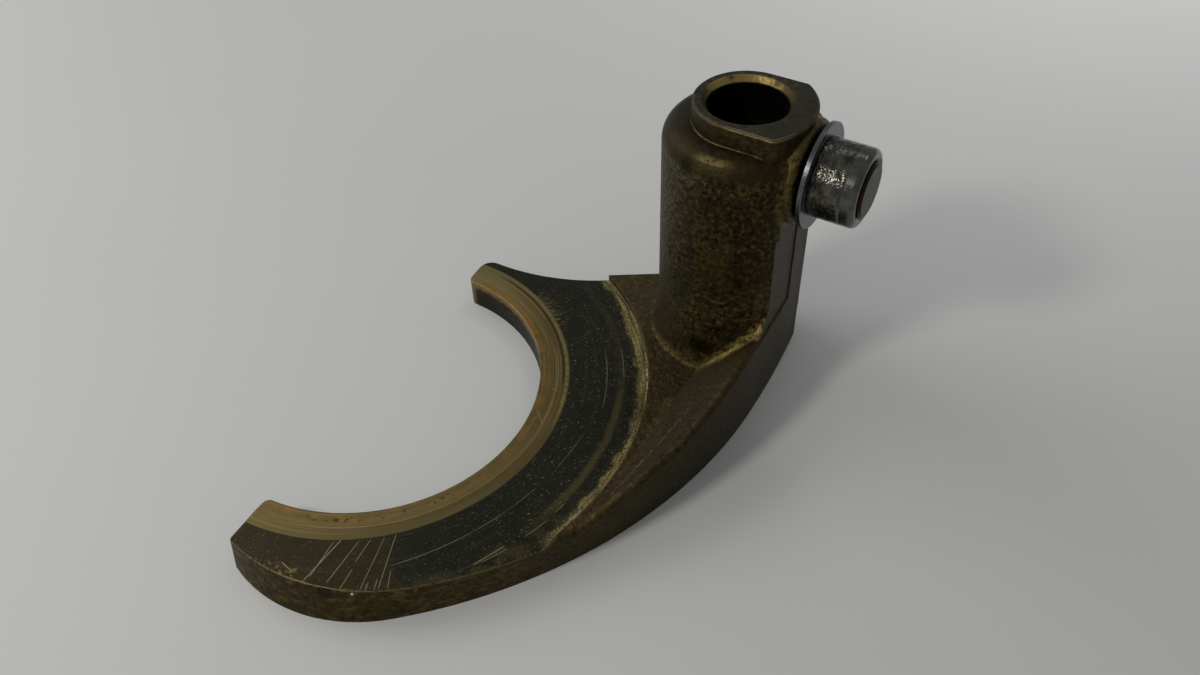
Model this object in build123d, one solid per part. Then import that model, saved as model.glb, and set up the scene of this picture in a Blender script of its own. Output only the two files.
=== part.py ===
from build123d import *
import math
import os

# Gearbox shift fork: a bronze casting with a pressed follower pin, a thrust washer and a cam roller.
# The origin lies on the axis of the selector-rod bore, in the flat face that the fork rests on.
# +Z runs along the rod, and the centre of the jaw lies on -X. The pin frame is the same frame turned
# about Z, so that its X runs along the follower pin: n counts along the pin and t across it.

# Jaw, in millimetres and degrees; jaw angles are measured about the jaw's centre from +X
JAW_REACH = 60.8            # rod axis to the jaw's centre
JAW_RADIUS = 27.5           # running edge of the tongues
PLATE = 5.5                 # thickness between the machined faces
NEAR_TIP_ANGLE = -127.3     # radial end of the long prong
FAR_TIP_ANGLE = 50.2        # radial end of the short prong
TIP_INNER_ROUND = 1.0
TIP_OUTER_ROUND = 0.6       # outer corner of the long prong
FAR_TIP_ROUND = 2.2         # outer corner of the short prong
FACE_WIDTH = 17.8           # machined face, from the running edge outwards
CAST_STEP = 1.2             # raw casting above the machined face
BEVEL_WIDTH = 2.8           # worn bevel along the running edge
BEVEL_DEPTH = 0.25

# Outer wall, drafted from the foot up to the machined face
FOOT_DEPTH = 15.3           # long prong at its deepest, from the running edge outwards
FACE_DEPTH = 14.43
FOOT_TIP = 9.21             # long prong at its end
FACE_TIP = 8.4
FOOT_BLEND = 0.0            # side wall in front of the boss, before it curves away
FACE_BLEND = 1.9
FAR_TIP = 6.42              # short prong at its end
WALL_INSET = 2.49           # depth that the side wall cuts into the boss
WALL_CORNER = 46.0          # where the wall meets the boss, about the rod axis from the pin
FAR_WALL_ANGLE = 80.6       # direction the short prong's outer wall faces
FAR_WALL_LENGTH = 21.2      # straight part, from the boss

# Rod boss
ROD_BORE = 12.0
BORE_CHAMFER = 0.8
BOSS_RADIUS = 12.35         # cast body round the bore
BOSS_HEIGHT = 49.8          # full length of the bore
COLLAR_HEIGHT = 3.3         # collar above the cast body
SHOULDER_ROUND = 3.3
COLLAR_WALL = 2.1           # wall between the bore and the collar's flats
COLLAR_SHIFT = (-0.85, -0.75)   # n and t of the centre of the collar's end over the pin
COLLAR_CORNER = 0.8         # round where the flats meet that end
COLLAR_EDGE = 0.25          # chamfer round the top of the collar
ROOT_ROUND = 1.6            # fillet where the body meets the arm

# Ramp that stiffens the arm behind the side wall
RAMP_START = 0.5            # n of the ramp's straight foot
RAMP_STEEP = 1.08           # slope beside the boss
RAMP_SHALLOW = 0.72         # slope along the arm
# Sections of the ramp as (t, slope)
RAMP_SECTIONS = [(5.0, RAMP_STEEP), (-8.0, RAMP_STEEP), (-16.0, 1.0), (-25.0, 0.8),
                 (-36.0, RAMP_SHALLOW), (-64.0, RAMP_SHALLOW)]
RIDGE_ROUND = 0.8
FADE_PAST = 14.9            # t from the jaw's centre to where the raw surface meets the machined face
FADE_SLOPE = 0.45
PANEL_DEPTH = 0.76          # shallow panel in the wall under the pin, at its upright edge
PANEL_TILT = 2.5
PANEL_EDGE = 1.2            # t of its upright edge
PANEL_FOOT = 14.6
PANEL_DROP = 7.9            # pin axis down to the panel's top

# Follower pin, washer and roller
PIN_ANGLE = -41.5           # direction of the pin about the rod axis
PIN_DROP = 9.1              # collar's top down to the pin axis
PIN_BOSS_RADIUS = 8.0
PIN_BOSS_PROUD = 1.34       # spot face, from the side wall
PIN_BOSS_ROUND = 1.5
PIN_DIAMETER = 8.5
PIN_WALL = 0.7              # metal left between the pin's seat and the rod bore
PIN_ROUND = 0.35
WASHER_GAP = 0.55           # the washer stands off the spot face
WASHER_THICKNESS = 0.65
WASHER_DIAMETER = 16.0
WASHER_CLEARANCE = 0.08     # radial, on the pin
ROLLER_GAP = 0.1            # between washer and roller
ROLLER_LENGTH = 6.9
ROLLER_DIAMETER = 11.9
ROLLER_CLEARANCE = 0.05     # radial, on the pin
ROLLER_ROUND = 0.9          # outer rim of the free end
ROLLER_CHAMFER = 0.5        # mouth of the roller's bore
PIN_PROUD = 0.45            # the pin stands out of the roller

WALL_OFFSET = BOSS_RADIUS - WALL_INSET              # rod axis to the side wall, along the pin
PIN_BOSS_REACH = WALL_OFFSET + PIN_BOSS_PROUD
PIN_HEIGHT = BOSS_HEIGHT - PIN_DROP
SHOULDER_HEIGHT = BOSS_HEIGHT - COLLAR_HEIGHT       # top of the cast body
CAST_HEIGHT = PLATE + CAST_STEP                     # raw cast surface
RAMP_TOP = CAST_HEIGHT + RAMP_STEEP * BOSS_RADIUS   # taller than the ramp anywhere inside the outline
SPAN = 2 * JAW_REACH                                # longer than the fork, for cutting and trimming bodies
PIN_FRAME = Rot(0, 0, PIN_ANGLE)


def polar(angle, radius, centre=(-JAW_REACH, 0)):
    """A point at an angle and a radius, about the jaw's centre unless another is given."""
    a = math.radians(angle)
    return (centre[0] + radius * math.cos(a), centre[1] + radius * math.sin(a))


def across_pin(n, t):
    """A point n along the pin and t across it, both from the rod axis."""
    a = math.radians(PIN_ANGLE)
    return (n * math.cos(a) - t * math.sin(a), n * math.sin(a) + t * math.cos(a))


def in_pin_frame(x, y):
    """The n and t of a point of the row's frame."""
    a = math.radians(PIN_ANGLE)
    return (x * math.cos(a) + y * math.sin(a), y * math.cos(a) - x * math.sin(a))


def arm_curve(depth, blend):
    """Centre and radius of the outer wall's arc from under the jaw to the straight side wall."""
    a = math.radians(PIN_ANGLE)
    start = across_pin(WALL_OFFSET, -BOSS_RADIUS - blend)
    radius = (start[1] + JAW_RADIUS + depth) / (1 + math.sin(a))
    return polar(PIN_ANGLE + 180, radius, start), radius


def outline(depth, tip, blend):
    """The fork seen from above, at the height where the long prong has these widths."""
    centre, radius = arm_curve(depth, blend)
    low = polar(-90, radius, centre)
    arm_middle = polar((PIN_ANGLE - 90) / 2, radius, centre)
    arm_end = polar(PIN_ANGLE, radius, centre)
    corner = polar(PIN_ANGLE + WALL_CORNER, BOSS_RADIUS, (0, 0))
    touch = polar(FAR_WALL_ANGLE, BOSS_RADIUS, (0, 0))
    back = polar((FAR_WALL_ANGLE + PIN_ANGLE + WALL_CORNER) / 2, BOSS_RADIUS, (0, 0))
    bend = polar(FAR_WALL_ANGLE + 90, FAR_WALL_LENGTH, touch)
    near_in = polar(NEAR_TIP_ANGLE, JAW_RADIUS)
    near_out = polar(NEAR_TIP_ANGLE, JAW_RADIUS + tip)
    far_in = polar(FAR_TIP_ANGLE, JAW_RADIUS)
    far_out = polar(FAR_TIP_ANGLE, JAW_RADIUS + FAR_TIP)
    edges = [
        TangentArc(low, near_out, tangent=(-1, 0)),
        ThreePointArc(low, arm_middle, arm_end),
        TangentArc(arm_end, corner, tangent=across_pin(0, 1)),
        ThreePointArc(corner, back, touch),
        Line(touch, bend),
        TangentArc(bend, far_out, tangent=polar(FAR_WALL_ANGLE + 90, 1, (0, 0))),
        Line(far_out, far_in),
        ThreePointArc(far_in, polar((NEAR_TIP_ANGLE + FAR_TIP_ANGLE) / 2, JAW_RADIUS), near_in),
        Line(near_in, near_out),
    ]
    face = make_face(edges)
    for tip_corner, round_size in ((near_in, TIP_INNER_ROUND), (near_out, TIP_OUTER_ROUND),
                                   (far_in, TIP_INNER_ROUND), (far_out, FAR_TIP_ROUND)):
        face = fillet(face.vertices().sort_by_distance(tip_corner)[0], round_size)
    return face


def face_outline():
    """The outline at the machined face, which the upright walls above it keep."""
    return outline(FACE_DEPTH, FACE_TIP, FACE_BLEND)


def arm_blank():
    """Arm and prongs, drafted up to the machined face and upright above it."""
    foot = outline(FOOT_DEPTH, FOOT_TIP, FOOT_BLEND)
    plate = loft([foot, Pos(0, 0, PLATE) * face_outline()], ruled=True)
    return plate + Pos(0, 0, PLATE) * extrude(face_outline(), RAMP_TOP - PLATE)


def ramp_wedge():
    """The space under the ramp, whose slope eases from the boss along the arm."""
    run = 2 * BOSS_RADIUS
    sections = []
    for t, slope in RAMP_SECTIONS:
        end = RAMP_START + run
        top = CAST_HEIGHT + slope * run
        section = Polygon((RAMP_START, 0), (end, 0), (end, top), (RAMP_START, CAST_HEIGHT), align=None)
        sections.append(Plane((0, t, 0), x_dir=(1, 0, 0), z_dir=(0, -1, 0)) * section)
    return PIN_FRAME * loft(sections)


def fade_cut():
    """The space above the sloping end of the raw cast surface."""
    rise = RAMP_TOP - PLATE
    start = in_pin_frame(-JAW_REACH, 0)[1] - FADE_PAST
    section = Polygon((start, PLATE), (start + rise / FADE_SLOPE, RAMP_TOP), (start - rise, RAMP_TOP),
                      (start - rise, PLATE), align=None)
    return PIN_FRAME * extrude(Plane.YZ * section, SPAN, both=True)


def arm():
    """The blank trimmed to the raw cast surface and the ramp."""
    below = Pos(0, 0, CAST_HEIGHT / 2) * Box(2 * SPAN, 2 * SPAN, CAST_HEIGHT) + ramp_wedge()
    return arm_blank() & below


def face_cut():
    """The space above the machined face, clear of the boss and its fillet."""
    disc = Pos(-JAW_REACH, 0, 0) * Circle(JAW_RADIUS + FACE_WIDTH) - Circle(BOSS_RADIUS + ROOT_ROUND)
    return Pos(0, 0, PLATE) * extrude(disc, RAMP_TOP)


def ridge(body):
    """The crest where the ramp and the raw cast surface meet the curved outer wall."""
    (x, y), radius = arm_curve(FACE_DEPTH, FACE_BLEND)

    def on_crest(edge):
        points = [edge @ 0, edge @ 0.5, edge @ 1]
        on_wall = all(math.isclose(math.hypot(p.X - x, p.Y - y), radius, abs_tol=0.01) for p in points)
        run = points[2] - points[0]
        return on_wall and points[1].Z > PLATE + 0.5 * CAST_STEP and math.hypot(run.X, run.Y) > CAST_STEP
    return body.edges().filter_by(on_crest)


def boss_body():
    """The cast body round the bore, cut by the side wall under the pin."""
    column = extrude(Circle(BOSS_RADIUS), SHOULDER_HEIGHT)
    column = fillet(column.edges().group_by(Axis.Z)[-1], SHOULDER_ROUND)
    return column & extrude(face_outline(), SHOULDER_HEIGHT)


def collar():
    """The key-shaped collar: round about the bore, with flats that run out over the pin."""
    radius = ROD_BORE / 2 + COLLAR_WALL
    flats = Rectangle(PIN_BOSS_REACH, 2 * radius, align=(Align.MIN, Align.CENTER))
    key = Circle(radius) + (flats & (Pos(*COLLAR_SHIFT) * Circle(PIN_BOSS_REACH)))
    key = fillet(key.vertices().filter_by(lambda corner: corner.X > COLLAR_CORNER), COLLAR_CORNER)
    block = Pos(0, 0, PIN_HEIGHT) * extrude(key, BOSS_HEIGHT - PIN_HEIGHT)
    block = chamfer(block.edges().group_by(Axis.Z)[-1], COLLAR_EDGE)
    return PIN_FRAME * block


def pin_boss():
    """The short round boss that the follower pin stands in."""
    rod = Plane.YZ * extrude(Circle(PIN_BOSS_RADIUS), PIN_BOSS_REACH)
    rod = fillet(rod.edges().group_by(Axis.X)[-1], PIN_BOSS_ROUND)
    return PIN_FRAME * Pos(0, 0, PIN_HEIGHT) * rod


def panel_cut():
    """The shallow panel in the side wall, open towards the front of the boss."""
    width = PANEL_EDGE + BOSS_RADIUS
    height = PIN_HEIGHT - PANEL_DROP - PANEL_FOOT
    block = Box(BOSS_RADIUS, width, height, align=(Align.MIN, Align.MAX, Align.MIN))
    return PIN_FRAME * Pos(WALL_OFFSET - PANEL_DEPTH, PANEL_EDGE, PANEL_FOOT) * Rot(0, 0, PANEL_TILT) * block


def pin_seat():
    """The blind hole that the follower pin is pressed into."""
    start = ROD_BORE / 2 + PIN_WALL
    hole = Plane.YZ * extrude(Circle(PIN_DIAMETER / 2), PIN_BOSS_REACH)
    return PIN_FRAME * Pos(start, 0, PIN_HEIGHT) * hole


def tongue_bevel():
    """A shallow worn bevel along the running edge of the tongues."""
    centre = (-JAW_REACH, 0)
    outside = JAW_RADIUS + BEVEL_WIDTH
    section = Polygon((0, BEVEL_DEPTH), (outside, BEVEL_DEPTH), (outside, 0), (JAW_RADIUS, -BEVEL_DEPTH),
                      (0, -BEVEL_DEPTH), align=None)
    return Pos(*centre, PLATE) * revolve(Plane.XZ * section, Axis.Z)


def ramp_root(body):
    """The edge where the round body stands on the ramp."""
    def on_ramp(edge):
        points = [edge @ 0, edge @ 0.5, edge @ 1]
        on_body = all(math.isclose(math.hypot(p.X, p.Y), BOSS_RADIUS, abs_tol=0.01) for p in points)
        middle = edge @ 0.5
        return on_body and middle.Y < 0 and CAST_HEIGHT + CAST_STEP < middle.Z < RAMP_TOP
    return body.edges().filter_by(on_ramp)


def root_ring():
    """The hollow fillet where the round body stands on the flat of the arm."""
    disc = extrude(Circle(BOSS_RADIUS + ROOT_ROUND), ROOT_ROUND)
    hollow = Pos(0, 0, ROOT_ROUND) * Torus(BOSS_RADIUS + ROOT_ROUND, ROOT_ROUND)
    ring = Pos(0, 0, CAST_HEIGHT) * (disc - hollow)
    return ring & extrude(face_outline(), RAMP_TOP)


def rod_bore():
    """The bore for the selector rod, with a chamfer at its upper mouth."""
    bore = extrude(Circle(ROD_BORE / 2), BOSS_HEIGHT)
    mouth = extrude(Circle(ROD_BORE / 2 + BORE_CHAMFER), BORE_CHAMFER, taper=45)
    return bore + Pos(0, 0, BOSS_HEIGHT) * Rot(180, 0, 0) * mouth


def fork():
    """The one-piece casting, bored for the rod and the pin."""
    body = arm() + boss_body()
    body = fillet(ramp_root(body), ROOT_ROUND)
    body = body - face_cut()
    body = fillet(ridge(body), RIDGE_ROUND)
    body = body - fade_cut() - tongue_bevel()
    body = body + root_ring() + pin_boss() + collar() - panel_cut()
    return body - rod_bore() - pin_seat()


def follower_pin():
    """The plain pin pressed into its boss."""
    reach = PIN_BOSS_REACH + WASHER_GAP + WASHER_THICKNESS + ROLLER_GAP + ROLLER_LENGTH + PIN_PROUD
    start = ROD_BORE / 2 + PIN_WALL
    pin = Plane.YZ * extrude(Circle(PIN_DIAMETER / 2), reach - start)
    pin = chamfer(pin.edges().group_by(Axis.X)[-1], PIN_ROUND)
    return PIN_FRAME * Pos(start, 0, PIN_HEIGHT) * pin


def thrust_washer():
    """The thin washer between the boss and the roller."""
    hole = PIN_DIAMETER / 2 + WASHER_CLEARANCE
    ring = Circle(WASHER_DIAMETER / 2) - Circle(hole)
    washer = Plane.YZ * extrude(ring, WASHER_THICKNESS)
    return PIN_FRAME * Pos(PIN_BOSS_REACH + WASHER_GAP, 0, PIN_HEIGHT) * washer


def cam_roller():
    """The roller that follows the cam groove of the shift drum."""
    hole = PIN_DIAMETER / 2 + ROLLER_CLEARANCE
    roller = Plane.YZ * extrude(Circle(ROLLER_DIAMETER / 2), ROLLER_LENGTH)
    roller = fillet(roller.edges().group_by(Axis.X)[-1], ROLLER_ROUND)
    roller = roller - Plane.YZ * extrude(Circle(hole), ROLLER_LENGTH)
    roller = chamfer(roller.edges().group_by(Axis.X)[-1].sort_by(SortBy.RADIUS)[0], ROLLER_CHAMFER)
    start = PIN_BOSS_REACH + WASHER_GAP + WASHER_THICKNESS + ROLLER_GAP
    return PIN_FRAME * Pos(start, 0, PIN_HEIGHT) * roller


if __name__ == "__main__":
    os.makedirs("parts", exist_ok=True)
    export_step(fork(), "parts/fork.step")
    export_step(follower_pin(), "parts/follower_pin.step")
    export_step(thrust_washer(), "parts/thrust_washer.step")
    export_step(cam_roller(), "parts/cam_roller.step")
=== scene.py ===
import math

import bpy
from mathutils import Matrix, Vector

# Looks of a used shift fork: a dark bronze casting, worn bright where it runs, with a steel roller.
# In the materials lengths are millimetres, turns are degrees and colours are linear.
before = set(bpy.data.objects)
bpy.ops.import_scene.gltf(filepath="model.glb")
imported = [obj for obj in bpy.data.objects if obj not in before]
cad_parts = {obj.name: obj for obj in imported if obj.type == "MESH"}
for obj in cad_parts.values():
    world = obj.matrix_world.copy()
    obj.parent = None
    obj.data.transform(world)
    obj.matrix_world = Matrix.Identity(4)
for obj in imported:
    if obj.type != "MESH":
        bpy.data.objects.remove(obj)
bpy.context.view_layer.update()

MM = 0.001
DEGREES = 180 / math.pi     # degrees in a radian
METAL = 0.95                # the rest is dirt
JAW_X = -60.8               # centre of the jaw's curves, on the row's X axis
JAW_RADIUS = 27.5
TONGUE_RADIUS = 32.4        # outer edge of the bright running band
BEVEL_RADIUS = 30.3         # outer edge of the worn bevel
FACE_RADIUS = 45.3          # outer edge of the machined face
FACE_HEIGHT = 5.5
BORE_RADIUS = 6.0
BOSS_RADIUS = 12.35
BOSS_HEIGHT = 49.8          # top of the collar
SHOULDER_HEIGHT = 46.5      # foot of the collar
PIN_ANGLE = math.radians(-41.5)
PIN_HEIGHT = 40.7
PIN_BOSS_REACH = 11.2       # rod's axis to the spot face under the washer
PIN_END = 19.85             # rod's axis to the pin's free end
CAST_RINGS = [              # on the boss: angle round the rod, height, radius, half width
    (-100.0, 30.0, 2.2, 0.4), (-126.0, 18.7, 2.9, 0.5), (-98.0, 20.7, 3.1, 0.5)]
TABLE_SIZE = 6.0            # metres


class Value:
    """A socket of a material that takes part in Python expressions."""

    def __init__(self, finish, socket):
        self.finish = finish
        self.socket = socket

    def math(self, operation, *values):
        return self.finish.math(operation, *values)

    def __add__(self, other):
        return self.math("ADD", self, other)

    def __sub__(self, other):
        return self.math("SUBTRACT", self, other)

    def __rsub__(self, other):
        return self.math("SUBTRACT", other, self)

    def __mul__(self, other):
        return self.math("MULTIPLY", self, other)

    def __abs__(self):
        return self.math("ABSOLUTE", self)

    __radd__ = __add__
    __rmul__ = __mul__


class Finish:
    """A procedural material. Places are in millimetres of the row's frame."""

    def __init__(self, name, edge=0.2):
        """edge is the rounding of sharp edges."""
        self.material = bpy.data.materials.new(name)
        self.material.use_nodes = True
        self.tree = self.material.node_tree
        self.tree.nodes.clear()
        metres = self.node("ShaderNodeTexCoord", output="Object")
        self.place = self.scaled(metres, 1 / MM)
        self.x, self.y, self.z = self.parts(self.place)
        normal = self.node("ShaderNodeTexCoord", output="Normal")
        self.nx, self.ny, self.nz = self.parts(normal)
        self.rounded = self.node("ShaderNodeBevel", {"samples": 4}, {"Radius": edge * MM})
        plain = self.node("ShaderNodeNewGeometry", output="Normal")
        self.edges = self.fade(self.dot(self.rounded, plain), 0.985, 0.86)

    def node(self, kind, settings=None, inputs=None, output=0):
        """Any node; an input is a value to set or a socket to link."""
        made = self.tree.nodes.new(kind)
        for key, value in (settings or {}).items():
            setattr(made, key, value)
        for key, value in (inputs or {}).items():
            if isinstance(value, Value):
                self.tree.links.new(value.socket, made.inputs[key])
            else:
                made.inputs[key].default_value = value
        return Value(self, made.outputs[output]) if made.outputs else None

    def math(self, operation, *values):
        return self.node("ShaderNodeMath", {"operation": operation}, dict(enumerate(values)))

    def scaled(self, vector, factor):
        return self.node("ShaderNodeVectorMath", {"operation": "SCALE"}, {0: vector, "Scale": factor})

    def parts(self, vector):
        first = self.node("ShaderNodeSeparateXYZ", inputs={0: vector})
        outputs = first.socket.node.outputs
        return [Value(self, outputs[axis]) for axis in range(3)]

    def vector(self, x, y, z):
        return self.node("ShaderNodeCombineXYZ", inputs={0: x, 1: y, 2: z})

    def length(self, vector):
        return self.node("ShaderNodeVectorMath", {"operation": "LENGTH"}, {0: vector}, output="Value")

    def dot(self, first, second):
        products = {0: first, 1: second}
        return self.node("ShaderNodeVectorMath", {"operation": "DOT_PRODUCT"}, products, output="Value")

    def fade(self, value, low, high):
        """0 below low and 1 above high, smooth between; low may be the larger."""
        limits = {"Value": value, "From Min": low, "From Max": high}
        return self.node("ShaderNodeMapRange", {"interpolation_type": "SMOOTHSTEP"}, limits)

    def along_pin(self):
        """Distance from the rod's axis along the pin."""
        return self.x * math.cos(PIN_ANGLE) + self.y * math.sin(PIN_ANGLE)

    def from_pin(self):
        """Distance from the pin's axis."""
        sideways = self.y * math.cos(PIN_ANGLE) - self.x * math.sin(PIN_ANGLE)
        return self.length(self.vector(sideways, self.z - PIN_HEIGHT, 0.0))

    def band(self, value, low, high, soft):
        """1 between low and high, fading over soft on either side."""
        return self.fade(value, low - soft, low + soft) * self.fade(value, high + soft, high - soft)

    def noise(self, scale, detail=4.0, rough=0.55, stretch=(1, 1, 1), where=None, distortion=0.0):
        """Cloudy noise from 0 to 1; scale is in cycles a millimetre."""
        place = {0: where or self.place, 1: stretch}
        spread = self.node("ShaderNodeVectorMath", {"operation": "MULTIPLY"}, place)
        shape = {"Vector": spread, "Scale": scale, "Detail": detail, "Roughness": rough}
        shape["Distortion"] = distortion
        return self.node("ShaderNodeTexNoise", {"noise_dimensions": "3D"}, shape)

    def mix(self, factor, first, second):
        """The second colour over the first."""
        colours = {0: factor, 6: self.rgba(first), 7: self.rgba(second)}
        return self.node("ShaderNodeMix", {"data_type": "RGBA"}, colours, output=2)

    def blend(self, factor, first, second):
        """The second number over the first."""
        return self.node("ShaderNodeMix", {"data_type": "FLOAT"}, {0: factor, 2: first, 3: second})

    def rgba(self, value):
        return value if isinstance(value, Value) else (*value, 1.0)

    def surface(self, colour, roughness, metallic, relief):
        """One surface; relief is a height in millimetres."""
        bump = self.node("ShaderNodeBump", inputs={"Height": relief, "Distance": MM, "Normal": self.rounded})
        look = {"Base Color": colour, "Roughness": roughness, "Metallic": metallic, "Normal": bump}
        return self.node("ShaderNodeBsdfPrincipled", inputs=look)

    def over(self, mask, first, second):
        """The second surface over the first."""
        return self.node("ShaderNodeMixShader", inputs={0: mask, 1: first, 2: second})

    def finish(self, surface):
        """The material with this surface."""
        self.node("ShaderNodeOutputMaterial", inputs={"Surface": surface})
        return self.material


class Casting(Finish):
    """The fork's material: coats of colour laid by place on the casting.

    reach and turn are the distance and direction from the jaw's centre, rod and round_rod those from
    the rod's axis, and outward is the distance from that axis along the pin.
    """

    def __init__(self, name):
        super().__init__(name, edge=0.4)
        from_jaw = self.x - JAW_X
        self.reach = self.length(self.vector(from_jaw, self.y, 0.0))
        self.turn = self.math("ARCTAN2", self.y, from_jaw) * DEGREES
        self.rod = self.length(self.vector(self.x, self.y, 0.0))
        self.round_rod = self.math("ARCTAN2", self.y, self.x) * DEGREES
        self.outward = self.along_pin()
        self.upward = self.fade(self.nz, 0.6, 0.85)
        self.beside = self.fade(abs(self.nz), 0.6, 0.35)
        self.broad = self.noise(0.11, detail=3.0)
        self.patches = self.noise(0.4, detail=4.0)
        self.grain = self.noise(1.3, detail=5.0, rough=0.65)
        self.fine = self.noise(6.0, detail=3.0, rough=0.6)
        self.specks = self.noise(2.7, detail=1.0)
        swirl = self.noise(0.62, detail=4.0, rough=0.6, distortion=1.4)
        self.veins = self.fade(abs(swirl - 0.5), 0.065, 0.01)
        self.colour = None

    def lay(self, mask, colour):
        """A coat of colour where the mask is 1."""
        self.colour = self.mix(mask, self.colour, colour)

    def bronze(self, relief):
        """The surface of the coats laid so far: smoother where they are brighter."""
        bare = self.fade(self.dot(self.colour, (0.3, 0.6, 0.1)), 0.03, 0.18)
        return self.surface(self.colour, self.blend(bare, 0.47, 0.34), METAL, relief)

    def lines(self, across, along, detail=3.0):
        """Noise drawn out round the jaw; across and along are its scales."""
        return self.noise(1.0, detail=detail, where=self.vector(self.reach * across, self.turn * along, 0.0))

    def stroke(self, start, end, half):
        """A scratch from one place to another, seen from above; half is half its width."""
        (x0, y0), (x1, y1) = start, end
        long = math.hypot(x1 - x0, y1 - y0)
        ux, uy = (x1 - x0) / long, (y1 - y0) / long
        across = self.y * ux - self.x * uy - (y0 * ux - x0 * uy)
        along = self.x * ux + self.y * uy - (x0 * ux + y0 * uy)
        soft = 0.3
        return self.fade(abs(across), half, half * 0.4) * self.band(along, soft, long - soft, soft)

    def strokes(self, cuts):
        return sum(self.stroke(*cut) for cut in cuts)

    def arc(self, radius, first, last, half, soft=2.0):
        """A line about the jaw's centre between two turns."""
        return self.fade(abs(self.reach - radius), half, half * 0.4) * self.band(self.turn, first, last, soft)

    def arcs(self, lines):
        return sum(self.arc(*line) for line in lines)

    def spot(self, x, y, z, radius):
        """A soft round mark about a place."""
        return self.fade(self.length(self.vector(self.x - x, self.y - y, self.z - z)), radius, radius * 0.5)

    def on_boss(self, angle, height, across=1.0):
        """Distance from a place on the boss; across scales it sideways."""
        sideways = (self.round_rod - angle) * (BOSS_RADIUS / DEGREES * across)
        return self.length(self.vector(sideways, self.z - height, 0.0))

    def rings(self, wider=0.0):
        """The crooked cast rings on the boss."""
        crooked = (self.patches - 0.5) * 2.8
        return sum(self.fade(abs(self.on_boss(angle, height) - radius + crooked), half + wider, 0.0)
                   for angle, height, radius, half in CAST_RINGS)


def cast_skin(f):
    """Brown patina with golden grain and reddish patches."""
    f.colour = f.mix(f.patches, (0.036, 0.026, 0.010), (0.080, 0.059, 0.025))
    f.lay(f.fade(f.broad, 0.48, 0.62) * 0.5, (0.046, 0.028, 0.015))
    f.lay(f.fade(f.grain, 0.5, 0.72) * 0.7, (0.15, 0.11, 0.042))
    f.lay(f.fade(f.grain, 0.42, 0.28) * 0.8, (0.012, 0.009, 0.004))
    f.lay(f.fade(f.fine, 0.6, 0.75) * 0.5, (0.17, 0.13, 0.058))
    f.lay(f.edges * f.fade(f.grain, 0.3, 0.6) * 0.55, (0.15, 0.115, 0.045))


def outer_wall(f):
    """The drafted wall round the outside: brown, rubbed golden in streaks and along its top edge, with one
    painted glint.
    """
    wall = f.beside * f.fade(f.rod, 14.0, 20.0) * f.fade(f.reach, 31.0, 34.0)
    f.lay(wall * 0.75, f.mix(f.patches, (0.029, 0.020, 0.004), (0.056, 0.041, 0.010)))
    f.lay(wall * f.fade(f.turn, -52.0, -30.0) * 0.6, (0.033, 0.024, 0.0055))
    near = f.fade(f.turn, -55.0, -70.0)
    rubs = f.noise(0.6, detail=4.0, rough=0.65, stretch=(1.0, 1.0, 2.2))
    f.lay(wall * near * f.fade(rubs, 0.50, 0.62) * 0.7, (0.135, 0.095, 0.022))
    f.lay(wall * f.fade(rubs, 0.62, 0.72) * 0.4, (0.13, 0.10, 0.036))
    f.lay(wall * f.fade(f.grain, 0.54, 0.62) * 0.4, (0.088, 0.068, 0.024))
    f.lay(wall * f.fade(f.grain, 0.45, 0.36) * 0.6, (0.012, 0.009, 0.004))
    rim = f.fade(f.z, 4.6, 5.3) * f.fade(f.reach, 36.0, 37.0) * near
    f.lay(rim * f.edges * f.fade(f.grain, 0.38, 0.52) * 0.9, (0.24, 0.185, 0.075))
    f.lay(f.spot(-69.0, -39.6, 4.8, 1.6) * f.fade(f.grain, 0.3, 0.5), (0.030, 0.014, 0.016))
    # painted glint: a small near-white highlight spot on the wall
    f.lay(f.spot(-65.3, -41.0, 5.0, 0.28), (0.85, 0.80, 0.70))


def boss_sides(f):
    """The boss: golden lumps and worms on dark brown in front, greyer on the left and the right."""
    boss = f.beside * f.fade(f.rod, 14.5, 13.0) * f.fade(f.z, 6.0, 8.0)
    front = boss * f.band(f.round_rod, -146.0, -60.0, 12.0)
    f.lay(boss * 0.8, f.mix(f.patches, (0.030, 0.026, 0.012), (0.060, 0.051, 0.026)))
    low = f.fade(f.z, 34.0, 20.0)
    f.lay(front * 0.8, f.mix(low, (0.030, 0.020, 0.006), (0.019, 0.013, 0.004)))
    runs = f.noise(0.5, detail=3.0, stretch=(1.0, 1.0, 0.16))
    f.lay(front * f.fade(runs, 0.5, 0.66) * 0.6, (0.080, 0.050, 0.012))
    f.lay(boss * f.fade(f.grain, 0.52, 0.61) * (0.8 - low * 0.5), (0.115, 0.087, 0.032))
    f.lay(boss * f.fade(f.grain, 0.46, 0.38) * 0.85, (0.007, 0.005, 0.002))
    swirls = front * f.fade(f.z, 30.0, 16.0)
    f.lay(swirls * f.veins * f.fade(f.patches, 0.34, 0.55) * 0.8, (0.17, 0.125, 0.040))
    f.lay(front * f.rings() * f.fade(f.grain, 0.44, 0.56) * 0.55, (0.17, 0.13, 0.050))
    # painted shade: a near-black oval for a small cast pocket
    painted_pocket_shade = f.fade(f.on_boss(-130.0, 11.0, across=0.6), 2.2, 0.9)
    f.lay(front * painted_pocket_shade * 0.8, (0.006, 0.004, 0.002))


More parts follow.
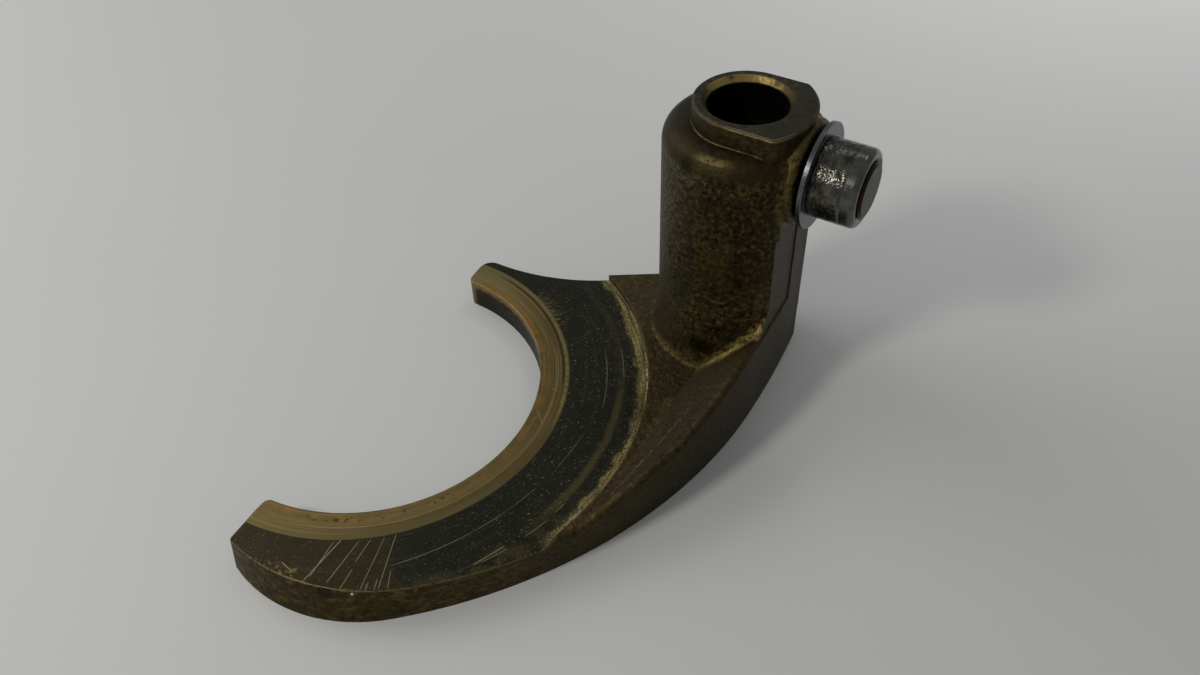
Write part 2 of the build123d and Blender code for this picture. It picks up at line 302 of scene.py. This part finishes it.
def boss_root_highlight(f):
    """The fillet where the boss stands on the arm: painted golden as a highlight where it slopes up to the
    light, brightest in front.
    """
    near = f.fade(f.rod, 14.9, 13.9) * f.fade(f.rod, 12.4, 13.0) * f.fade(f.z, 19.0, 17.0)
    sloping = f.band(f.nz, 0.3, 0.93, 0.12)
    painted_root_highlight = near * sloping * f.band(f.round_rod, -172.0, -70.0, 12.0)
    # painted highlight: golden where the fillet slopes up towards the light
    f.lay(painted_root_highlight * f.fade(f.grain, 0.34, 0.52) * 0.8, (0.16, 0.12, 0.036))
    # painted highlight: the brightest gold on the front of the fillet, facing the window
    bright = painted_root_highlight * f.band(f.round_rod, -118.0, -76.0, 10.0)
    f.lay(bright * f.fade(f.grain, 0.44, 0.54), (0.34, 0.26, 0.080))


def ramp(f):
    """The ramp up to the boss: greyer and smoother low down, with a rubbed golden streak."""
    smooth = (1 - f.beside) * f.band(f.turn, -42.0, -22.0, 6.0) * f.fade(f.reach, 47.5, 50.0)
    f.lay(smooth * 0.7, f.mix(f.patches, (0.031, 0.025, 0.011), (0.048, 0.040, 0.020)))
    worn = f.noise(0.8, detail=4.0, rough=0.7)
    f.lay(smooth * f.fade(worn, 0.56, 0.68) * 0.6, (0.10, 0.078, 0.034))
    streak = f.stroke((-14.3, -15.8), (-19.2, -21.6), 0.8)
    f.lay((1 - f.beside) * streak * f.fade(f.patches, 0.3, 0.6) * 0.6, (0.15, 0.112, 0.040))
    line = f.stroke((-12.4, -21.2), (-27.5, -33.6), 0.35)
    f.lay((1 - f.beside) * line * f.fade(f.grain, 0.4, 0.6) * 0.8, (0.15, 0.120, 0.062))
    f.lay(smooth * f.fade(f.grain, 0.46, 0.38) * 0.6, (0.014, 0.010, 0.005))


def shoulder_and_collar(f):
    """The top: grey-brown lands, a front lightened with painted light, worn golden edges, painted highlights
    on the shoulder's brow and the collar's front lip, a polished chamfer painted golden at the back as a
    highlight, painted shade in a dent and a bore painted black as shade.
    """
    top = f.fade(f.z, SHOULDER_HEIGHT - 3.5, SHOULDER_HEIGHT - 1.5)
    f.lay(top * 0.8, f.mix(f.patches, (0.026, 0.020, 0.009), (0.054, 0.044, 0.022)))
    # painted light: the front of the lands lit golden, facing the window
    painted_lit_front = top * f.band(f.round_rod, -150.0, -78.0, 14.0)
    f.lay(painted_lit_front * f.fade(f.grain, 0.42, 0.62) * 0.6, (0.095, 0.072, 0.022))
    crown = f.fade(f.z, BOSS_HEIGHT - 0.6, BOSS_HEIGHT - 0.3) * f.upward
    f.lay(crown * 0.9, f.mix(f.patches, (0.032, 0.027, 0.016), (0.068, 0.059, 0.038)))
    f.lay(crown * f.fade(f.grain, 0.52, 0.60) * 0.45, (0.105, 0.090, 0.056))
    f.lay(crown * f.fade(f.grain, 0.46, 0.38) * 0.6, (0.014, 0.011, 0.007))
    right = crown * f.fade(f.outward, 4.0, 8.0)
    f.lay(right * 0.6, (0.034, 0.029, 0.021))
    bright = top * f.edges * f.fade(f.patches, 0.38, 0.58)
    f.lay(bright * 0.8, (0.20, 0.155, 0.065))
    shoulder = top * f.fade(f.z, SHOULDER_HEIGHT + 0.1, SHOULDER_HEIGHT - 0.3)
    f.lay(shoulder * 0.75, f.mix(f.patches, (0.015, 0.011, 0.004), (0.034, 0.025, 0.009)))
    # painted highlight: a thin golden line along the shoulder's rounded brow, in front
    painted_brow_highlight = f.band(f.z, SHOULDER_HEIGHT - 1.0, SHOULDER_HEIGHT - 0.4, 0.2)
    painted_brow_highlight = painted_brow_highlight * f.band(f.round_rod, -143.0, -119.0, 7.0)
    f.lay(painted_brow_highlight * f.fade(f.grain, 0.3, 0.5) * 0.7, (0.17, 0.13, 0.048))
    # painted highlight: bright gold along the collar's top front edge
    lip = f.edges * f.fade(f.z, BOSS_HEIGHT - 0.8, BOSS_HEIGHT - 0.3)
    lip = lip * f.band(f.round_rod, -128.0, -74.0, 8.0)
    f.lay(lip * 0.9, (0.46, 0.38, 0.20))
    # painted shade: a near-black spot for a small dent
    painted_dent_shade = f.fade(f.on_boss(-150.0, 44.3), 1.8, 0.6)
    f.lay(painted_dent_shade * 0.7, (0.008, 0.006, 0.003))
    # the chamfer: golden at the back as a painted highlight, dark brown in front
    mouth = f.fade(f.rod, BORE_RADIUS + 0.95, BORE_RADIUS + 0.75)
    mouth = mouth * f.fade(f.z, BOSS_HEIGHT - 1.0, BOSS_HEIGHT - 0.8)
    back = f.band(f.round_rod, 25.0, 140.0, 25.0)
    f.lay(mouth, f.mix(back, (0.050, 0.036, 0.013), (0.30, 0.22, 0.075)))
    f.lay(mouth * f.fade(f.patches, 0.52, 0.40) * 0.8, (0.045, 0.034, 0.014))
    # painted shade: the bore's wall near black below its mouth
    inside = f.fade(f.rod, BORE_RADIUS + 0.06, BORE_RADIUS + 0.01)
    inside = inside * f.fade(f.z, BOSS_HEIGHT - 0.5, BOSS_HEIGHT - 1.1)
    f.lay(inside, (0.012, 0.010, 0.006))


def pin_side(f):
    """The round boss under the washer, golden round its rim with painted shade on its end face in the gap at
    the washer, and the grey flank below it.
    """
    high = f.fade(f.z, 30.0, 32.0)
    rim = f.fade(f.from_pin(), 9.4, 8.2) * f.fade(f.outward, 6.5, 8.5) * high
    f.lay(rim * f.fade(f.grain, 0.32, 0.62) * 0.8, (0.135, 0.098, 0.030))
    # painted shade: the end face under the washer near black, for the gap between boss and washer
    end = f.fade(f.outward, PIN_BOSS_REACH - 0.5, PIN_BOSS_REACH - 0.1) * high
    f.lay(end * 0.9, (0.012, 0.009, 0.006))
    flank = f.fade(f.nx * math.cos(PIN_ANGLE) + f.ny * math.sin(PIN_ANGLE), 0.75, 0.95)
    grey = flank * f.fade(f.outward, 8.0, 9.0) * f.fade(f.z, 36.0, 32.0)
    f.lay(grey * 0.85, f.mix(f.patches, (0.025, 0.0175, 0.006), (0.050, 0.035, 0.012)))
    f.lay(grey * f.fade(f.grain, 0.54, 0.68) * 0.4, (0.11, 0.088, 0.052))


def machined_face(f):
    """The flat beside the running band: near black, speckled and rubbed golden in arcs."""
    f.colour = f.mix(f.patches, (0.016, 0.018, 0.012), (0.036, 0.036, 0.024))
    f.lay(f.fade(f.turn, -45.0, -70.0) * 0.35, (0.012, 0.013, 0.008))
    tip = f.fade(f.turn, -85.0, -90.0)
    f.lay(tip * 0.85, f.mix(f.patches, (0.031, 0.023, 0.010), (0.046, 0.034, 0.016)))
    outer = f.fade(f.reach, 40.0, 42.5) * f.fade(f.patches, 0.40, 0.6)
    f.lay(outer * f.fade(f.turn, -38.0, -54.0) * 0.7, (0.062, 0.048, 0.022))
    f.lay(outer * f.fade(f.grain, 0.52, 0.62) * 0.4, (0.10, 0.082, 0.040))
    f.lay(f.fade(f.lines(1.5, 0.05), 0.54, 0.72) * 0.35, (0.070, 0.066, 0.042))
    olive = f.fade(abs(f.reach - 40.9 + (f.patches - 0.5) * 0.8), 0.9, 0.2)
    f.lay(olive * f.band(f.turn, -54.0, -14.0, 8.0) * 0.75, (0.105, 0.090, 0.036))
    f.lay(olive * f.band(f.turn, -14.0, 22.0, 8.0) * 0.5, (0.058, 0.044, 0.036))
    crowd = f.band(f.turn, -72.0, 20.0, 18.0) * f.fade(f.patches, 0.36, 0.56) * 0.7 + 0.3
    f.lay(f.fade(f.fine * 0.4 + f.specks * 0.6, 0.60, 0.645) * crowd, (0.26, 0.22, 0.120))
    rim = f.edges * f.fade(f.turn, -55.0, -70.0) * f.fade(f.reach, 35.0, 36.0)
    f.lay(rim * f.fade(f.grain, 0.36, 0.5) * 0.9, (0.27, 0.205, 0.085))
    f.lay(f.fade(f.specks, 0.31, 0.25) * 0.7, (0.008, 0.008, 0.005))


def worn_rim(f):
    """The golden arc along the outer edge of the machined face, ragged inside and pitted dark."""
    wide = f.blend(f.fade(f.broad, 0.4, 0.6), 44.1, 42.9)
    inner = wide + (f.patches - 0.5) * 1.8 + (f.fine - 0.5) * 2.6
    edge = f.fade(f.reach - inner, -0.5, 0.5) * f.band(f.turn, -58.0, 24.0, 3.0)
    pits = f.fade(f.specks * 0.6 + f.fine * 0.4, 0.46, 0.40)
    streaks = f.lines(2.2, 0.12, detail=4.0)
    gold = f.mix(f.fade(streaks, 0.35, 0.65), (0.15, 0.12, 0.050), (0.50, 0.40, 0.165))
    f.lay(edge * (1 - pits * 0.85), gold)
    f.lay(edge * pits * f.fade(f.patches, 0.62, 0.45), (0.030, 0.022, 0.010))


def scratches(f):
    """Tool scratches: arcs round the jaw and slanting strokes by the near tip."""
    drift = (f.turn + 56.0) * 0.01
    spiral = abs(f.reach - 36.45 - drift * drift * 12.0)
    long = f.fade(spiral, 0.09, 0.02) * f.band(f.turn, -89.0, -27.0, 3.0)
    lines = f.arcs([
        (38.55, -22.0, -4.0, 0.08, 2.5), (41.85, -61.0, -55.5, 0.09, 0.5), (41.7, -53.0, -50.0, 0.09, 0.5),
        (43.78, -49.5, -44.0, 0.08, 0.5), (42.0, -71.0, -65.5, 0.09, 0.5), (41.3, -12.0, -3.0, 0.08, 1.0)])
    cuts = f.strokes([
        ((-66.4, -31.7), (-72.2, -38.1), 0.11), ((-67.6, -31.9), (-71.1, -37.4), 0.08),
        ((-63.9, -32.4), (-68.8, -38.9), 0.08), ((-62.2, -32.4), (-64.8, -36.3), 0.08),
        ((-60.3, -32.5), (-64.2, -41.0), 0.07), ((-58.7, -32.3), (-61.7, -41.4), 0.09),
        ((-59.7, -38.2), (-60.4, -41.6), 0.08), ((-62.9, -39.6), (-63.5, -41.4), 0.10),
        ((-61.6, -39.3), (-62.3, -41.5), 0.09), ((-65.0, -37.0), (-67.0, -40.4), 0.08),
        ((-73.2, -36.2), (-75.1, -33.8), 0.10), ((-43.5, -37.6), (-48.5, -40.0), 0.16)])
    marks = f.math("MINIMUM", long * f.fade(f.broad, 0.3, 0.5) + lines + cuts, 1.0)
    f.lay(marks * f.fade(f.fine, 0.2, 0.45), (0.24, 0.20, 0.100))
    tip_edge = f.fade(f.reach, 36.4, 37.6) * f.fade(f.turn, -106.0, -109.0)
    f.lay(tip_edge * f.fade(f.grain, 0.50, 0.62) * 0.8, (0.17, 0.135, 0.055))
    hatch = f.noise(1.0, detail=2.0, stretch=(0.9, 4.0, 1.0))
    rubbed = f.band(f.turn, 10.0, 25.0, 4.0) * f.fade(f.reach + (f.patches - 0.5) * 3.0, 35.0, 32.6)
    f.lay(rubbed * f.fade(hatch, 0.48, 0.60) * 0.9, (0.20, 0.155, 0.062))


def running_band(f):
    """The golden band that the sleeve runs on, with turned lines and a bevelled inner part."""
    lines = f.lines(2.6, 0.02)
    f.colour = f.mix(f.patches, (0.115, 0.084, 0.030), (0.170, 0.125, 0.045))
    f.lay(f.fade(lines, 0.48, 0.66) * 0.8, (0.28, 0.215, 0.092))
    f.lay(f.fade(lines, 0.42, 0.30) * 0.7, (0.082, 0.062, 0.024))
    f.lay(f.fade(f.turn, 10.0, 42.0) * 0.6, (0.33, 0.260, 0.105))
    near = f.fade(f.turn, -20.0, -60.0)
    f.lay(near * f.fade(f.reach, BEVEL_RADIUS, BEVEL_RADIUS + 0.2) * 0.7, (0.125, 0.096, 0.038))
    bevel = f.fade(f.reach, BEVEL_RADIUS + 0.1, BEVEL_RADIUS - 0.1) * near
    f.lay(bevel * 0.6, f.mix(f.patches, (0.145, 0.096, 0.031), (0.255, 0.178, 0.070)))
    amber = f.fade(f.patches + f.broad * 0.5, 0.74, 0.86) * f.fade(f.reach, 29.8, 28.0)
    f.lay(amber * 0.7, (0.27, 0.150, 0.042))
    f.lay(f.arc(28.3, 12.0, 40.0, 0.5, 6.0) * 0.6, (0.34, 0.185, 0.050))
    f.lay(f.arc(31.35, -15.0, 40.0, 0.26, 4.0) * 0.85, (0.042, 0.031, 0.012))
    f.lay(f.arc(31.95, -30.0, 34.0, 0.34, 6.0) * f.fade(f.grain, 0.35, 0.55), (0.30, 0.24, 0.098))
    f.lay(f.arc(30.3, -112.0, -22.0, 0.09, 6.0) * 0.7, (0.34, 0.27, 0.120))
    f.lay(f.arc(30.5, -18.0, 0.0, 0.10) * 0.7, (0.36, 0.30, 0.16))
    nicks = f.strokes([((-32.5, -8.5), (-31.5, -9.7), 0.1), ((-35.4, -12.4), (-35.0, -16.3), 0.09)])
    f.lay(nicks * 0.7, (0.38, 0.31, 0.17))
    lip = f.fade(abs(f.reach - 28.8), 0.7, 0.2) * f.band(f.turn, -114.0, -58.0, 8.0)
    f.lay(lip * f.fade(f.grain, 0.54, 0.62) * 0.8, (0.040, 0.024, 0.009))


def jaw_walls(f):
    """The jaw's inside: darkened as painted shade, with a bare golden edge, and bare tips."""
    # painted shade: the jaw's inner walls darkened
    inside = f.beside * f.fade(f.reach, JAW_RADIUS + 0.9, JAW_RADIUS + 0.3)
    f.lay(inside, f.mix(f.patches, (0.016, 0.012, 0.008), (0.040, 0.031, 0.018)))
    high = f.fade(f.z + (f.patches - 0.5) * 2.4, 3.7, 4.7)
    f.lay(inside * high, f.mix(f.fade(f.turn, 0.0, 30.0), (0.19, 0.132, 0.044), (0.28, 0.175, 0.055)))
    far_end = f.beside * f.fade(f.turn, 46.5, 48.5) * f.fade(f.reach, 36.0, 33.0)
    f.lay(far_end, f.mix(f.patches, (0.150, 0.118, 0.050), (0.24, 0.190, 0.088)))


def cast_relief(f):
    """The cast skin's relief: its grain, stronger on the boss and weaker above it, worms and rings."""
    below_shoulder = SHOULDER_HEIGHT - 3.5
    boss = f.fade(f.rod, 13.6, 12.6) * f.fade(f.z, below_shoulder, below_shoulder - 2.0)
    boss = boss * f.fade(f.outward, 9.0, 8.4)
    above = f.fade(f.z, below_shoulder, below_shoulder + 2.0)
    grain = f.grain * (0.30 + boss * 0.75 - above * 0.18)
    return grain + boss * (f.veins * 0.14 + f.rings(wider=0.2) * 0.22) + f.fine * 0.02


def bronze_casting():
    """Dark patina over cast bronze, bare and golden where the sleeve and the tools have run."""
    f = Casting("patinated_bronze")
    cast_skin(f)
    outer_wall(f)
    ramp(f)
    boss_sides(f)
    boss_root_highlight(f)
    shoulder_and_collar(f)
    pin_side(f)
    jaw_walls(f)
    skin = f.bronze(cast_relief(f))
    turned = f.fine * 0.02
    machined_face(f)
    worn_rim(f)
    scratches(f)
    flat = f.bronze(turned)
    running_band(f)
    band = f.bronze(turned)
    level = f.fade(f.z, FACE_HEIGHT + 0.5, FACE_HEIGHT + 0.2)
    level = level * f.fade(f.z, FACE_HEIGHT - 1.2, FACE_HEIGHT - 0.8)
    under = f.fade(f.nz, -0.6, -0.85) * f.fade(f.z, 0.8, 0.4)
    faces = (f.upward * level + under) * f.fade(f.reach, FACE_RADIUS + 0.1, FACE_RADIUS - 0.1)
    run = faces * f.fade(f.reach, TONGUE_RADIUS + 0.08, TONGUE_RADIUS - 0.12)
    return f.finish(f.over(run, f.over(faces, skin, flat), band))


def roller_steel():
    """Worn grey steel: a mottled, pitted barrel with bright worn flecks tinted warm as a painted reflection,
    and a smoother band at its outer end.
    """
    f = Finish("worn_roller_steel")
    patches = f.noise(0.55, detail=4.0)
    grain = f.noise(2.2, detail=4.0, rough=0.65)
    fine = f.noise(7.0, detail=2.0)
    colour = f.mix(f.fade(patches, 0.3, 0.7), (0.036, 0.035, 0.030), (0.150, 0.145, 0.120))
    dark = f.fade(grain, 0.44, 0.34)
    colour = f.mix(dark * 0.8, colour, (0.022, 0.020, 0.017))
    # bright worn flecks, tinted warm as a painted reflection of the warm window light and the bronze
    colour = f.mix(f.fade(grain, 0.6, 0.72) * 0.5, colour, (0.36, 0.33, 0.24))
    band = f.fade(f.along_pin(), PIN_END - 2.9, PIN_END - 2.5)
    colour = f.mix(band * 0.7, colour, f.mix(patches, (0.085, 0.085, 0.078), (0.16, 0.16, 0.148)))
    roughness = f.blend(dark, f.blend(patches, 0.12, 0.22), 0.5)
    relief = f.blend(band, grain * 0.02 + patches * 0.26, grain * 0.015) + fine * 0.003
    return f.finish(f.surface(colour, roughness, METAL, relief))


def washer_steel():
    """Thin blue-grey steel, flecked dark and brighter at its edges."""
    f = Finish("washer_steel", edge=0.12)
    patches = f.noise(0.6)
    fine = f.noise(3.0)
    colour = f.mix(patches, (0.075, 0.082, 0.088), (0.165, 0.178, 0.185))
    colour = f.mix(f.fade(fine, 0.40, 0.28), colour, (0.04, 0.04, 0.04))
    colour = f.mix(f.edges * 0.6, colour, (0.34, 0.36, 0.36))
    return f.finish(f.surface(colour, f.blend(fine, 0.2, 0.36), METAL, fine * 0.02))


def pin_steel():
    """The pin's grey turned end, dark brown round its edge."""
    f = Finish("pin_steel")
    patches = f.noise(0.8)
    fine = f.noise(3.0)
    colour = f.mix(patches, (0.027, 0.028, 0.024), (0.062, 0.062, 0.053))
    colour = f.mix(f.fade(fine, 0.6, 0.75) * 0.5, colour, (0.20, 0.19, 0.16))
    colour = f.mix(f.fade(f.from_pin(), 3.75, 4.05), colour, (0.030, 0.015, 0.010))
    return f.finish(f.surface(colour, f.blend(fine, 0.32, 0.5), METAL, fine * 0.03))


def floor_paper():
    """Smooth pale table."""
    f = Finish("pale_table")
    colour = f.mix(f.noise(0.02), (0.60, 0.60, 0.585), (0.62, 0.62, 0.60))
    return f.finish(f.surface(colour, 0.7, 0.0, f.noise(1.0) * 0.01))


def dress(node, material):
    """Gives a piece of the row its material."""
    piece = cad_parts[node]
    piece.data.materials.clear()
    piece.data.materials.append(material)


def make_floor():
    bpy.ops.mesh.primitive_plane_add(size=TABLE_SIZE, location=(0, 0, 0))
    floor = bpy.context.object
    floor.name = "table"
    floor.data.materials.append(floor_paper())


def make_camera():
    """The photograph's view, from in front and above; its place is in metres."""
    place = Vector((-0.04299, -0.12646, 0.13156))
    down = math.radians(44.25)
    pan = math.radians(9.09)
    roll = math.radians(-2.07)
    ahead = Vector((math.sin(pan) * math.cos(down), math.cos(pan) * math.cos(down), -math.sin(down)))
    level = Vector((math.cos(pan), -math.sin(pan), 0))
    upright = level.cross(ahead)
    right = math.cos(roll) * level + math.sin(roll) * upright
    above = -math.sin(roll) * level + math.cos(roll) * upright
    turn = Matrix((right, above, -ahead)).transposed().to_4x4()
    data = bpy.data.cameras.new("camera")
    data.sensor_width = 36.0
    data.lens = 31.76
    camera = bpy.data.objects.new("camera", data)
    camera.matrix_world = Matrix.Translation(place) @ turn
    bpy.context.collection.objects.link(camera)
    bpy.context.scene.camera = camera


def area_light(name, place, target, size, power, tint, spread=180):
    """A square light; place, target and size are metres, power is watts and spread is degrees."""
    data = bpy.data.lights.new(name, "AREA")
    data.shape = "SQUARE"
    data.size = size
    data.energy = power
    data.color = tint
    data.spread = math.radians(spread)
    light = bpy.data.objects.new(name, data)
    light.location = place
    light.rotation_euler = (Vector(target) - Vector(place)).to_track_quat("-Z", "Y").to_euler()
    bpy.context.collection.objects.link(light)


def make_light():
    """A window at the left, a wide soft light behind it, one for the table behind the part, a pale room."""
    area_light("window", (-0.29, -0.11, 0.28), (0, 0, 0), 0.06, 0.42, (1.0, 0.97, 0.92))
    area_light("softbox", (-0.31, 0.24, 0.26), (0, 0, 0), 0.30, 0.62, (0.97, 0.99, 1.0))
    area_light("backdrop", (0.22, 0.24, 0.40), (0.22, 0.20, 0), 0.20, 0.24, (1, 1, 1), spread=75)
    world = bpy.data.worlds.new("room")
    bpy.context.scene.world = world
    world.use_nodes = True
    back = world.node_tree.nodes["Background"]
    back.inputs["Color"].default_value = (0.97, 0.985, 1.0, 1)
    back.inputs["Strength"].default_value = 0.29
    bpy.context.scene.view_settings.view_transform = "Standard"


dress("fork", bronze_casting())
dress("follower_pin", pin_steel())
dress("thrust_washer", washer_steel())
dress("cam_roller", roller_steel())
make_floor()
make_camera()
make_light()
